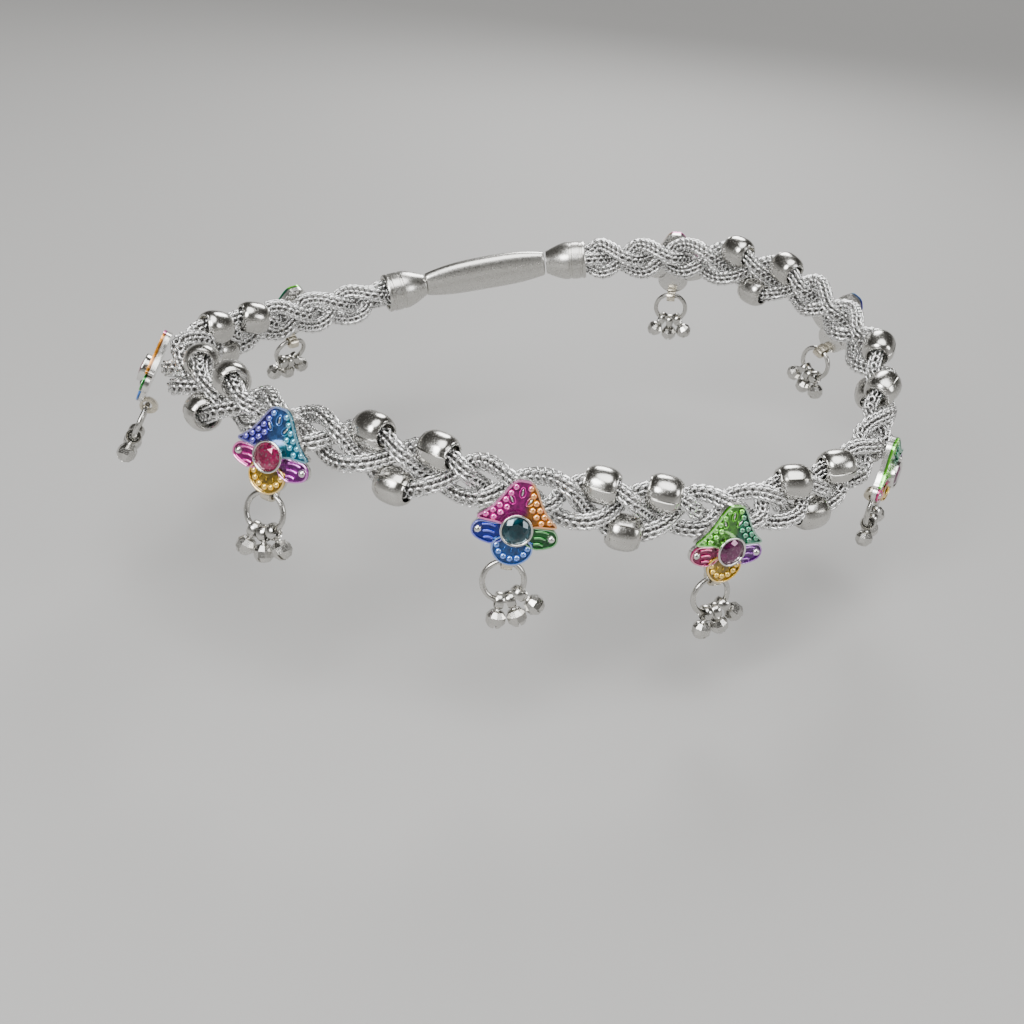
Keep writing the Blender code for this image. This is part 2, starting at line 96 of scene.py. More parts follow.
class Signal:
    """Output of a shader node; arithmetic on it adds Math nodes to the same material."""

    def __init__(self, socket):
        self.socket = socket

    def node(self, kind, settings=(), values=(), output=0):
        """Another node of the material, from its settings and its sockets' values or links."""
        made = self.socket.id_data.nodes.new(kind)
        for name, setting in dict(settings).items():
            setattr(made, name, setting)
        for name, value in dict(values).items():
            if isinstance(value, Signal):
                self.socket.id_data.links.new(value.socket, made.inputs[name])
            else:
                made.inputs[name].default_value = value
        return Signal(made.outputs[output])

    def math(self, operation, *values):
        return self.node("ShaderNodeMath", {"operation": operation}, enumerate(values))

    def __add__(self, other):
        return self.math("ADD", self, other)

    def __sub__(self, other):
        return self.math("SUBTRACT", self, other)

    def __rsub__(self, other):
        return self.math("SUBTRACT", other, self)

    def __mul__(self, other):
        return self.math("MULTIPLY", self, other)

    __radd__ = __add__
    __rmul__ = __mul__

    def rise(self, low, high):
        """0 below low, 1 above high, and a smooth rise between them."""
        settings = {"interpolation_type": "SMOOTHSTEP"}
        values = {"Value": self, "From Min": low, "From Max": high}
        return self.node("ShaderNodeMapRange", settings, values)

    def blend(self, first, second):
        """Colour that goes from the first to the second as this value goes from 0 to 1."""
        both = [value if isinstance(value, Signal) else (*value, 1) for value in (first, second)]
        values = {0: self, 6: both[0], 7: both[1]}
        return self.node("ShaderNodeMix", {"data_type": "RGBA"}, values, output=2)

    def grain(self, scale, detail=2):
        """Noise between 0 and 1 at a scale in waves to the metre."""
        values = {"Vector": self, "Scale": scale, "Detail": detail}
        return self.node("ShaderNodeTexNoise", values=values)

    def bump(self, strength, distance):
        """Normal that stands up where this value is high."""
        values = {"Height": self, "Strength": strength, "Distance": distance}
        return self.node("ShaderNodeBump", values=values)


def new_finish(name, plain, varying):
    """Material whose shader has plain socket values and, by a function of its nodes, varying ones."""
    material = bpy.data.materials.new(name)
    material.use_nodes = True
    nodes = material.node_tree.nodes
    shader = nodes["Principled BSDF"]
    for socket, value in plain.items():
        shader.inputs[socket].default_value = value
    place = Signal(nodes.new("ShaderNodeTexCoord").outputs["Object"])
    for socket, value in varying(place).items():
        material.node_tree.links.new(value.socket, shader.inputs[socket])
    return material


def pale_floor(place):
    cloud = place.grain(3)
    return {
        "Base Color": cloud.blend((0.345, 0.342, 0.335), (0.385, 0.38, 0.37)),
        "Roughness": cloud * 0.1 + 0.6,
        "Normal": place.grain(900).bump(0.05, 0.0002),
    }


bpy.ops.mesh.primitive_plane_add(size=floor_size, location=(0, 0, cad_box[0][2] - floor_below_bells))
floor = bpy.context.object
floor.name = "floor"
floor.data.materials.append(new_finish("pale floor", {}, pale_floor))


def softbox(name, turn, height, distance, size, power):
    """Round studio light that faces the anklet from a turn round it and a height, in degrees."""
    aim = Matrix.Rotation(math.radians(turn), 4, "Z") @ Matrix.Rotation(math.radians(90 - height), 4, "X")
    bpy.ops.object.light_add(type="AREA", location=aim @ Vector((0, 0, distance)), rotation=aim.to_euler())
    light = bpy.context.object
    light.name = name
    light.data.shape = "DISK"
    light.data.size = size
    light.data.energy = power


softbox("key light", -42, 40, 0.40, 0.20, 1.7)
softbox("fill light", 55, 24, 0.45, 0.18, 0.6)
softbox("back light", 165, 36, 0.42, 0.20, 1.2)

ceiling_height = math.radians(78)
ceiling_turn = math.radians(15)
ceiling_angle = math.radians(46)
ceiling_power = 2.9
bpy.ops.object.light_add(type="SUN", rotation=(math.pi / 2 - ceiling_height, 0, ceiling_turn))
ceiling_light = bpy.context.object
ceiling_light.name = "ceiling light"
ceiling_light.data.angle = ceiling_angle
ceiling_light.data.energy = ceiling_power

backdrop_top = 0.42
backdrop_low, backdrop_high = (0.47, 0.465, 0.455), (0.060, 0.057, 0.052)
world = bpy.data.worlds.new("studio air")
bpy.context.scene.world = world
world.use_nodes = True
air = world.node_tree.nodes["Background"]
direction = Signal(world.node_tree.nodes.new("ShaderNodeTexCoord").outputs["Generated"])
steepness = direction.node("ShaderNodeSeparateXYZ", values={"Vector": direction}, output=2)
backdrop = steepness.rise(0.0, backdrop_top).blend(backdrop_low, backdrop_high)
world.node_tree.links.new(backdrop.socket, air.inputs["Color"])

# Foxtail chains, the three strands of the braid. Each is drawn silver wire in folded links, set
# crosswise by turns: each link passes through the eyes of the one before it of its own side.
link_pitch = 0.00046
wire_radius = 0.00015
link_quarter = (
    (0.0, 0.0, 0.00014),
    (0.00032, 0.00077, 0.00027),
    (0.00096, 0.00080, 0.00042),
    (0.00126, 0.00064, 0.0),
)
chain_outside = 0.00097
chain_flatness = 1.12
tube_sides = 8
line_steps = 8
merge_distance = 0.000001
chain_pieces = {"strand_1": "foxtail_chain_1", "strand_2": "foxtail_chain_2", "strand_3": "foxtail_chain_3"}


def corners_of(node):
    """Distinct corners of a CAD node, as rows."""
    corners = np.array([corner.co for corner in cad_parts[node].data.vertices])
    return np.unique(corners.round(7), axis=0)


def only(piece):
    """Selects one piece and makes it the active one."""
    bpy.ops.object.select_all(action="DESELECT")
    piece.select_set(True)
    bpy.context.view_layer.objects.active = piece


def apply_modifiers(piece):
    only(piece)
    for modifier in list(piece.modifiers):
        bpy.ops.object.modifier_apply(modifier=modifier.name)


def joined(pieces, name):
    """One piece of several, under a name."""
    only(pieces[0])
    for piece in pieces[1:]:
        piece.select_set(True)
    bpy.ops.object.join()
    pieces[0].name = name
    pieces[0].data.name = name
    return pieces[0]


def path_curve(name, points, closed=False):
    """Curve object of straight runs through the points."""
    curve = bpy.data.curves.new(name, "CURVE")
    curve.dimensions = "3D"
    spline = curve.splines.new("POLY")
    spline.points.add(len(points) - 1)
    for knot, point in zip(spline.points, points):
        knot.co = (*point, 1)
    spline.use_cyclic_u = closed
    piece = bpy.data.objects.new(name, curve)
    bpy.context.scene.collection.objects.link(piece)
    return piece


def wire_mesh(name, points, radius, closed=False, roundness=1):
    """Mesh of a round wire along the points."""
    piece = path_curve(name, points, closed)
    piece.data.bevel_depth = radius
    piece.data.bevel_resolution = roundness
    piece.data.use_fill_caps = True
    only(piece)
    bpy.ops.object.convert(target="MESH")
    bpy.ops.object.shade_smooth()
    return bpy.context.object


def smooth_through(points, steps, closed):
    """Rows of points on a smooth curve through the given ones, so many steps for each."""
    knots = np.array(points, float)
    if closed:
        knots = np.vstack([knots[-1], knots, knots[:2]])
    else:
        knots = np.vstack([2 * knots[0] - knots[1], knots, 2 * knots[-1] - knots[-2]])
    share = np.linspace(0, 1, steps, endpoint=False)[:, None]
    runs = []
    for before, start, end, after in zip(knots, knots[1:], knots[2:], knots[3:]):
        leave, arrive = (end - before) / 2, (after - start) / 2
        drop = start - end
        runs.append(start + share * (leave + share * (
            -3 * drop - 2 * leave - arrive + share * (2 * drop + leave + arrive))))
    if not closed:
        runs.append(knots[-2:-1])
    return np.vstack(runs)


def strand_middle(node):
    """Middle line of a CAD strand, from the rings of corners of its tube, one after the other."""
    shape = bmesh.new()
    shape.from_mesh(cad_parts[node].data)
    bmesh.ops.remove_doubles(shape, verts=shape.verts, dist=merge_distance)
    cap_low, cap_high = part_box("end_cap_1")
    cap_middle = (cap_low + cap_high) / 2
    ring = sorted(shape.verts, key=lambda corner: (corner.co - cap_middle).length)[:tube_sides]
    passed = set(ring)
    middles = []
    while ring:
        middles.append(np.mean([corner.co for corner in ring], axis=0))
        ring = {edge.other_vert(corner) for corner in ring for edge in corner.link_edges} - passed
        passed |= ring
    shape.free()
    return np.array(middles)


def foxtail_silver(place):
    outside = place.node("ShaderNodeAttribute", {"attribute_name": "outside"}, output=2)
    patch = place.grain(220)
    # Painted shade: wires near the chain's middle are blended towards near black, and roughened, by their
    # distance from the axis; only the outer wires keep the bright silver.
    out_of_painted_shade = outside.rise(0.45, 0.95)
    bright = patch.blend((0.83, 0.83, 0.82), (0.93, 0.93, 0.925))
    return {
        "Base Color": out_of_painted_shade.blend((0.30, 0.29, 0.28), bright),
        "Roughness": patch * 0.10 + (1 - out_of_painted_shade) * 0.25 + 0.20,
        "Normal": place.grain(9000).bump(0.15, 0.00003),
    }


# Right half of a link seen along the chain, then the whole link
right_half = link_quarter + tuple((along, across, -deep) for along, across, deep in link_quarter[-2::-1])
link_points = right_half + tuple((along, -across, deep) for along, across, deep in right_half[-2:0:-1])
link = wire_mesh("link", link_points, wire_radius, closed=True)
crosswise = link.copy()
crosswise.data = link.data.copy()
bpy.context.scene.collection.objects.link(crosswise)
only(crosswise)
bpy.ops.transform.rotate(value=math.pi / 2, orient_axis="X", center_override=(0, 0, 0))
bpy.ops.transform.translate(value=(link_pitch, 0, 0))
bpy.ops.object.transform_apply()
link_pair = joined([link, crosswise], "link pair")
link_pair.data.transform(Matrix.Diagonal((1, 1, chain_flatness, 1)))
distances = [math.hypot(corner.co.y, corner.co.z) / chain_outside for corner in link_pair.data.vertices]
link_pair.data.attributes.new("outside", "FLOAT", "POINT").data.foreach_set("value", distances)

chain_finish = new_finish("foxtail silver", {"Metallic": 1.0}, foxtail_silver)
strand_lines = []
for node, name in chain_pieces.items():
    strand_line = smooth_through(strand_middle(node), line_steps, closed=False)
    strand_lines.append(strand_line)
    guide = path_curve("chain guide", strand_line)
    guide.data.twist_mode = "Z_UP"
    chain = link_pair.copy()
    chain.data = link_pair.data.copy()
    chain.name = name
    bpy.context.scene.collection.objects.link(chain)
    repeat = chain.modifiers.new("links", "ARRAY")
    repeat.fit_type = "FIT_CURVE"
    repeat.curve = guide
    repeat.use_relative_offset = False
    repeat.use_constant_offset = True
    repeat.constant_offset_displace = (2 * link_pitch, 0, 0)
    along_guide = chain.modifiers.new("guide", "CURVE")
    along_guide.object = guide
    apply_modifiers(chain)
    bpy.data.objects.remove(guide)
    chain.data.materials.append(chain_finish)
    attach(chain, "root")
    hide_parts(node)
bpy.data.objects.remove(link_pair)

# Beads, threaded on the strands. Each is a hollow ball pressed from silver sheet, polished, with
# a rolled rim round the bore at either end and a fine soldered seam from one rim to the other.
bead_radius = 0.00235
bead_bore = 0.00142
bead_half = (
    (bead_bore, 0.00180), (bead_bore, 0.00198), (0.00152, 0.00206), (0.00168, 0.00206),
    (0.00177, 0.00198), (0.00178, 0.00188), (0.00196, 0.00172), (0.00214, 0.00142),
    (0.00227, 0.00102), (0.00233, 0.00054),
)
bead_sides = 40
bead_edge = math.radians(40)
seam_half_angle = math.radians(3.0)
seam_depth = 0.00013
seam_outwards = math.radians(62)
seam_spread = math.radians(25)
seam_step = math.radians(137)


def turned(name, profile, sides, closed):
    """Mesh turned round Z from a profile of (radius, height), a closed ring or an open line."""
    bpy.ops.mesh.primitive_circle_add(vertices=len(profile), fill_type="NOTHING")
    piece = bpy.context.object
    piece.name = name
    for corner, (radius, height) in zip(piece.data.vertices, profile):
        corner.co = (radius, 0, height)
    bpy.ops.object.mode_set(mode="EDIT")
    if not closed:
        shape = bmesh.from_edit_mesh(piece.data)
        shape.verts.ensure_lookup_table()
        closing = shape.edges.get((shape.verts[0], shape.verts[-1]))
        shape.edges.remove(closing)
        bmesh.update_edit_mesh(piece.data)
    bpy.ops.mesh.select_all(action="SELECT")
    bpy.ops.mesh.spin(steps=sides, angle=2 * math.pi, center=(0, 0, 0), axis=(0, 0, 1))
    bpy.ops.mesh.select_all(action="SELECT")
    bpy.ops.mesh.remove_doubles(threshold=merge_distance)
    bpy.ops.mesh.normals_make_consistent(inside=False)
    bpy.ops.object.mode_set(mode="OBJECT")
    return piece


def set_copy(pattern, name, matrix, finish):
    """Copy of a pattern, with its own mesh, set in place and given its finish."""
    piece = pattern.copy()
    piece.data = pattern.data.copy()
    piece.name = name
    piece.data.name = name
    piece.data.transform(matrix)
    piece.data.materials.clear()
    piece.data.materials.append(finish)
    bpy.context.scene.collection.objects.link(piece)
    return piece


def polished_silver(place):
    patch = place.grain(350)
    scratch = place.grain(4200, detail=4)
    return {
        "Base Color": patch.blend((0.50, 0.49, 0.46), (0.64, 0.63, 0.60)),
        "Roughness": scratch.rise(0.45, 0.75) * 0.12 + patch * 0.10 + 0.15,
        "Normal": place.grain(700).bump(0.10, 0.0001),
    }


other_half = [(radius, -height) for radius, height in reversed(bead_half)]
bead_profile = (*bead_half, (bead_radius, 0.0), *other_half)
bead_pattern = turned("bead", bead_profile, bead_sides, closed=True)
for corner in bead_pattern.data.vertices:
    turn = math.atan2(corner.co.y, corner.co.x)
    reach = math.hypot(corner.co.x, corner.co.y)
    beside = abs(turn) * bead_sides / (2 * math.pi)
    if reach > bead_bore and beside < 0.5:
        corner.co.x -= seam_depth
    elif reach > bead_bore and beside < 1.5:
        turn = math.copysign(seam_half_angle, turn)
        corner.co.x, corner.co.y = reach * math.cos(turn), reach * math.sin(turn)
only(bead_pattern)
bpy.ops.object.shade_smooth_by_angle(angle=bead_edge)
bead_finish = new_finish("polished silver", {"Metallic": 1.0}, polished_silver)
beads = sorted(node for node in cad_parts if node.startswith("bead_"))
for number, node in enumerate(beads):
    centre = corners_of(node).mean(axis=0)
    line = min(strand_lines, key=lambda points: np.linalg.norm(points - centre, axis=1).min())
    threaded = line[np.linalg.norm(line - centre, axis=1) < bead_radius]
    bore = Vector(threaded[-1] - threaded[0]).to_track_quat("Z", "X").to_matrix().to_4x4()
    outwards = math.copysign(1, bore.col[1].xyz @ Vector(centre))
    seam_turn = seam_outwards + seam_spread * math.sin(seam_step * number)
    bead_frame = Matrix.Translation(centre) @ bore @ Matrix.Rotation(outwards * seam_turn, 4, "Z")
    bead = set_copy(bead_pattern, "silver_" + node, bead_frame, bead_finish)
    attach(bead, "root")
    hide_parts(node)
bpy.data.objects.remove(bead_pattern)

# Enamelled motifs, eight cast silver plates like a flower bud: an arched petal over two side lobes
# and a round shield at the foot, with raised rims, dots, ribs and leaves. Clear coloured enamel
# fills each field; a strap behind the foot, soldered on, holds the jump ring.
plate_back = -0.00050
floor_height = 0.00020
rim_height = 0.00048
petal_lift = 0.00010
rim_breadth = 0.00022
rim_corner = math.radians(50)
petal_half = (
    (0.0, 0.00585), (0.00070, 0.00580), (0.00125, 0.00545), (0.00178, 0.00472), (0.00226, 0.00385),
    (0.00275, 0.00302), (0.00334, 0.00222), (0.00405, 0.00152), (0.00464, 0.00103), (0.00455, 0.00066),
    (0.00360, 0.00052), (0.00240, 0.00045), (0.00120, 0.00020),
)
lobe_outline = (
    (0.00130, 0.00040), (0.00260, 0.00042), (0.00370, 0.00048), (0.00448, 0.00036), (0.00500, -0.00020),
    (0.00512, -0.00090), (0.00480, -0.00155), (0.00405, -0.00198), (0.00320, -0.00222),
    (0.00250, -0.00225), (0.00130, -0.00160),
)
shield_half = (
    (0.0, -0.00462), (0.00095, -0.00445), (0.00178, -0.00392), (0.00230, -0.00320), (0.00246, -0.00245),
    (0.00220, -0.00170), (0.00120, -0.00110),
)
outline_steps = 5
stud_sides = 12
stud_rings = 8
dot_radius = 0.00043
dot_height = 0.00036
petal_dots = (
    (0.00086, 0.00496), (0.00132, 0.00416), (0.00180, 0.00332), (0.00236, 0.00256), (0.00302, 0.00186),
    (0.00376, 0.00126), (0.00150, 0.00244), (0.00212, 0.00170), (0.00280, 0.00104),
)
shield_dot_count = 7
shield_dot_radius = 0.00188
shield_dot_centre = -0.00190
lobe_ball = (0.00434, -0.00070, 0.00054)
lobe_ribs = ((0.00235, 0.00395, -0.00008), (0.00235, 0.00370, -0.00088), (0.00240, 0.00350, -0.00162))
rib_rise = 0.00012
rib_wire = 0.00017
rib_lift = 0.00010
leaves = ((0.0, 0.00432, 0), (0.00108, 0.00338, -30), (-0.00108, 0.00338, 30))
leaf_outline = ((0.0, 0.00068), (0.00034, 0.00018), (0.00030, -0.00040), (0.0, -0.00062))
leaf_wire = 0.00009
leaf_vein = (0.00012, 0.00045, 0.00012)
fan_spokes = (-150, -130, -110, -90, -70, -50, -30)
fan_middle = (0.0, -0.00030)
fan_reach = 0.00250
fan_ridge = (0.00034, 0.00009, 0.00014)
bezel_profile = (
    (0.00168, 0.00010), (0.00200, 0.00010), (0.00202, 0.00030), (0.00194, 0.00110), (0.00196, 0.00130),
    (0.00190, 0.00140), (0.00176, 0.00140), (0.00166, 0.00132), (0.00166, 0.00100),
)
bezel_sides = 48
stone_tip_height = 0.00070
strap_sides = 28
strap_edge = math.radians(40)
strap_hole = 0.00066
strap_wall = 0.00032
strap_bulge = 0.00005
strap_width = 0.00130
strap_stretch = 1.42
strap_up = -0.00474
strap_deep = -0.00116
plate_span = 0.0120
petal_mark, left_lobe_mark, right_lobe_mark, shield_mark, bare_mark, strap_mark = range(6)
middle_share = (0.42, 0.50)
right_share = (0.59, 0.64)
enamel_foot = (floor_height - 0.00012, floor_height - 0.00002)
navy, sky, cyan = (0.050, 0.035, 0.52), (0.08, 0.32, 0.92), (0.01, 0.42, 0.60)
hot_pink, purple, violet = (0.95, 0.006, 0.50), (0.30, 0.006, 0.48), (0.66, 0.02, 0.66)
gold, amber, lime = (0.95, 0.60, 0.015), (1.0, 0.38, 0.006), (0.17, 0.78, 0.01)
leaf_green, bottle, crimson = (0.01, 0.36, 0.03), (0.005, 0.28, 0.13), (0.72, 0.003, 0.20)
royal, steel = (0.006, 0.045, 0.80), (0.035, 0.23, 0.78)
bare_silver, strap_silver = (0.72, 0.71, 0.68), (0.66, 0.61, 0.50)
enamel_fields = {
    "blue": (navy, sky, cyan, hot_pink, violet, gold),
    "magenta": (hot_pink, hot_pink, amber, royal, leaf_green, steel),
    "green": (lime, lime, bottle, crimson, purple, gold),
}
motif_enamels = ("green", "magenta", "blue", "magenta", "green", "green", "blue", "magenta")


def flat_field(name, outline, back, height, rim):
    """Closed plate in an outline, with a raised rim round its floor."""
    bpy.ops.mesh.primitive_circle_add(vertices=len(outline), fill_type="NGON")
    piece = bpy.context.object
    piece.name = name
    for corner, (across, up) in zip(piece.data.vertices, outline):
        corner.co = (across, up, back)
    bpy.ops.object.mode_set(mode="EDIT")
    bpy.ops.mesh.select_all(action="SELECT")
    bpy.ops.mesh.normals_make_consistent(inside=False)
    bpy.ops.mesh.extrude_region_move(TRANSFORM_OT_translate={"value": (0, 0, height + rim - back)})
    bpy.ops.mesh.inset(thickness=rim_breadth)
    bpy.ops.mesh.extrude_region_move(TRANSFORM_OT_translate={"value": (0, 0, -rim)})
    bpy.ops.mesh.select_all(action="SELECT")
    bpy.ops.mesh.normals_make_consistent(inside=False)
    bpy.ops.object.mode_set(mode="OBJECT")
    rounding = piece.modifiers.new("rounding", "BEVEL")
    rounding.width = rim_breadth / 3
    rounding.segments = 2
    rounding.limit_method = "ANGLE"
    rounding.angle_limit = rim_corner
    apply_modifiers(piece)
    return piece


def mirrored_outline(half):
    """Smooth closed outline from its right half, given from the middle outwards and back."""
    left = [(-across, up) for across, up in half[:0:-1]]
    return smooth_through(list(half) + left, outline_steps, closed=True)


def set_field(piece, mark):
    """Marks the field of enamel, or of bare silver, that a part of the plate belongs to."""
    marks = piece.data.attributes.new("field", "FLOAT", "POINT")
    marks.data.foreach_set("value", [float(mark)] * len(piece.data.vertices))
    return piece


def stud(size, across, up, height, turn=0):
    """Rounded stud that stands on the plate."""
    bpy.ops.mesh.primitive_uv_sphere_add(segments=stud_sides, ring_count=stud_rings, radius=1, scale=size,
                                         location=(across, up, height), rotation=(0, 0, turn))
    bpy.ops.object.transform_apply()
    bpy.ops.object.shade_smooth()
    return bpy.context.object


def motif_plate():
    """Pattern of the whole casting, lying flat: across on X, up on Y, its face towards +Z."""
    petal_floor = floor_height + petal_lift
    rim = rim_height - floor_height
    petal, shield = mirrored_outline(petal_half), mirrored_outline(shield_half)
    lobe = smooth_through(lobe_outline, outline_steps, closed=True)
    parts = [
        set_field(flat_field("petal", petal, plate_back, petal_floor, rim), petal_mark),
        set_field(flat_field("right lobe", lobe, plate_back, floor_height, rim), right_lobe_mark),
        set_field(flat_field("left lobe", lobe * (-1, 1), plate_back, floor_height, rim), left_lobe_mark),
        set_field(flat_field("shield", shield, plate_back, floor_height, rim), shield_mark),
    ]
    dot = (dot_radius, dot_radius, dot_height)
    for side, lobe_mark in ((1, right_lobe_mark), (-1, left_lobe_mark)):
        for across, up in petal_dots:
            parts.append(set_field(stud(dot, side * across, up, petal_floor), petal_mark))
        for start, end, up in lobe_ribs:
            arch = [
                (side * (start + (end - start) * share), up + rib_rise * math.sin(math.pi * share),
                 floor_height + rib_lift)
                for share in (0, 0.25, 0.5, 0.75, 1)
            ]
            parts.append(set_field(wire_mesh("rib", arch, rib_wire), lobe_mark))
        across, up, radius = lobe_ball
        parts.append(set_field(stud((radius,) * 3, side * across, up, floor_height), bare_mark))
    for number in range(shield_dot_count):
        turn = -math.pi * (number + 0.5) / shield_dot_count
        across = shield_dot_radius * math.cos(turn)
        up = shield_dot_centre + shield_dot_radius * math.sin(turn)
        parts.append(set_field(stud(dot, across, up, floor_height), shield_mark))
    for degrees in fan_spokes:
        turn = math.radians(degrees)
        across = fan_middle[0] + fan_reach * math.cos(turn)
        up = fan_middle[1] + fan_reach * math.sin(turn)
        parts.append(set_field(stud(fan_ridge, across, up, floor_height, turn), shield_mark))
    for across, up, degrees in leaves:
        turn = Matrix.Rotation(math.radians(degrees), 2)
        edge = [turn @ Vector(point) for point in mirrored_outline(leaf_outline)]
        points = [(across + point.x, up + point.y, petal_floor + leaf_wire / 2) for point in edge]
        parts.append(set_field(wire_mesh("leaf", points, leaf_wire, closed=True), petal_mark))
        vein = stud(leaf_vein, across, up, petal_floor, math.radians(degrees))
        parts.append(set_field(vein, bare_mark))
    bezel = turned("bezel", bezel_profile, bezel_sides, closed=True)
    only(bezel)
    bpy.ops.object.shade_smooth()
    parts.append(set_field(bezel, bare_mark))
    strap_outside, strap_half = strap_hole + strap_wall, strap_width / 2
    strap_profile = (
        (strap_hole, -strap_half), (strap_outside, -strap_half), (strap_outside + strap_bulge, 0),
        (strap_outside, strap_half), (strap_hole, strap_half),
    )
    strap = turned("strap", strap_profile, strap_sides, closed=True)
    for corner in strap.data.vertices:
        if corner.co.x > 0 and math.hypot(corner.co.x, corner.co.y) > strap_hole * 1.1:
            corner.co.x *= strap_stretch
    strap.data.transform(
        Matrix.Translation((0, strap_up, strap_deep)) @ Matrix.Rotation(math.pi / 2, 4, "Y"))
    only(strap)
    bpy.ops.object.shade_smooth_by_angle(angle=strap_edge)
    parts.append(set_field(strap, strap_mark))
    plate = joined(parts, "motif")
    heights = [corner.co.z for corner in plate.data.vertices]
    plate.data.attributes.new("height", "FLOAT", "POINT").data.foreach_set("value", heights)
    marks = plate.data.attributes["field"].data
    floors = [petal_floor if mark.value == petal_mark else floor_height for mark in marks]
    relief = plate.data.attributes.new("relief", "FLOAT", "POINT")
    relief.data.foreach_set("value", [(height - base) / rim for height, base in zip(heights, floors)])
    across = plate.data.attributes.new("across", "FLOAT", "POINT")
    across.data.foreach_set("value", [corner.co.x / plate_span + 0.5 for corner in plate.data.vertices])
    return plate


def enamel_finish(scheme):
    """Material of a motif in one of the colour schemes."""
    left, middle, right, left_lobe, right_lobe, shield = enamel_fields[scheme]

    def varying(place):
        def read(name):
            return place.node("ShaderNodeAttribute", {"attribute_name": name}, output=2)

        def reached(mark):
            return field.rise(mark - 0.6, mark - 0.4)

        field, height, relief, across = read("field"), read("height"), read("relief"), read("across")
        wandered = across + place.grain(500) * 0.08
        petal = wandered.rise(*middle_share).blend(left, middle)
        petal = wandered.rise(*right_share).blend(petal, right)
        colour = reached(left_lobe_mark).blend(petal, left_lobe)
        colour = reached(right_lobe_mark).blend(colour, right_lobe)
        colour = reached(shield_mark).blend(colour, shield)
        # Low enamel between the raised relief is blended towards near black in uneven patches. This is
        # partly the deeper colour of thick enamel and partly painted shade between the raised parts.
        pool = place.grain(1400).rise(0.35, 0.7)
        hollow = 1 - relief.rise(0.05, 0.75)
        colour = (hollow * (pool * 0.22 + 0.66)).blend(colour, (0.0, 0.0, 0.01))
        # High relief is blended slightly towards white, where the enamel runs thin over it. A band along
        # the crests of rims and studs gets a painted highlight.
        raised = relief.rise(0.55, 1.25)
        edge = relief.rise(0.80, 0.95) - relief.rise(1.05, 1.15)
        pale = (raised * 0.10 + edge * 0.25).blend(colour, (0.95, 0.93, 0.93))
        bare = reached(strap_mark).blend(bare_silver, strap_silver)
        side = 1 - height.rise(*enamel_foot)
        silver = side.math("MAXIMUM", reached(bare_mark), side)
        return {
            "Base Color": silver.blend(pale, bare),
            "Metallic": silver * 0.25 + raised * 0.05 + 0.7,
            "Roughness": pool * 0.10 + 0.18 - raised * 0.04,
            "Coat Weight": 1 - silver,
            "Normal": place.grain(2600).bump(0.25, 0.00005),
        }

    return new_finish(scheme + " enamel", {"Coat Roughness": 0.04}, varying)


def plate_frame(number):
    """Matrix from the flat pattern of a motif to its place, read from its stone and its ring."""
    stone, ring = corners_of(f"stone_{number}"), corners_of(f"jump_ring_{number}")
    ring_centre = ring.mean(axis=0)
    out = np.linalg.svd(ring - ring_centre)[2][2]
    if out @ (stone.mean(axis=0) - ring_centre) < 0:
        out = -out
    up = stone.mean(axis=0) - ring_centre
    up -= out * (up @ out)
    up /= np.linalg.norm(up)
    tip = stone[(stone @ out).argmin()]
    matrix = Matrix((np.cross(up, out), up, out)).transposed().to_4x4()
    matrix.translation = Vector(tip - out * stone_tip_height)
    return matrix


plate_pattern = motif_plate()
enamels = {scheme: enamel_finish(scheme) for scheme in enamel_fields}
plate_frames = {}
for number, scheme in enumerate(motif_enamels, start=1):
    plate_frames[number] = plate_frame(number)
    motif = set_copy(plate_pattern, f"enamel_motif_{number}", plate_frames[number], enamels[scheme])
    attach(motif, "root")
    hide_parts(f"motif_{number}")
bpy.data.objects.remove(plate_pattern)

# Cut stones, round foil-backed glass in the bezels. Each has a flat table, eight star and main
# facets round it, a ring of girdle facets and a low pavilion, and is held by the bezel's lip.
stone_radius = 0.00166
stone_girdle = 0.00115
stone_crown = 0.00040
stone_sides = 16
stone_rings = ((0.56, 1.0, 8, 0.0), (0.80, 0.62, 8, 0.5), (1.0, 0.0, stone_sides, 0.0))
stone_flat = math.radians(1)
# Each stone has its deep body colour, a lit copy of it that is painted in random patches as reflection
# inside the stone, and the share of painted glints on its facets.
stone_colours = {
    "plum": ((0.04, 0.00, 0.025), (0.13, 0.008, 0.075), 0.10),
    "pink": ((0.16, 0.002, 0.035), (0.34, 0.012, 0.09), 0.22),
    "teal": ((0.00, 0.025, 0.035), (0.008, 0.09, 0.12), 0.04),
}
motif_stones = ("plum", "pink", "pink", "teal", "plum", "plum", "pink", "teal")


def stone_finish(colour):
    deep, lit, painted_glint = stone_colours[colour]

    def varying(place):
        facet = place.node("ShaderNodeTexVoronoi", values={"Vector": place, "Scale": 5200}, output=1)
        spark = facet.node("ShaderNodeSeparateColor", values={"Color": facet})
        # Random patches of the lit copy are painted reflection inside the stone.
        painted_reflection = place.grain(500).rise(0.35, 0.7)
        body = painted_reflection.blend(deep, lit)
        return {
            # The brightest facet cells are blended towards pale pink as painted glints.
            "Base Color": (spark.rise(0.75, 0.98) * painted_glint).blend(body, (0.90, 0.75, 0.85)),
            "Metallic": spark.rise(0.4, 0.9) * 0.4 + 0.4,
            "Normal": spark.bump(0.08, 0.00003),
        }

    return new_finish(colour + " glass", {"Roughness": 0.06, "Coat Weight": 1.0}, varying)


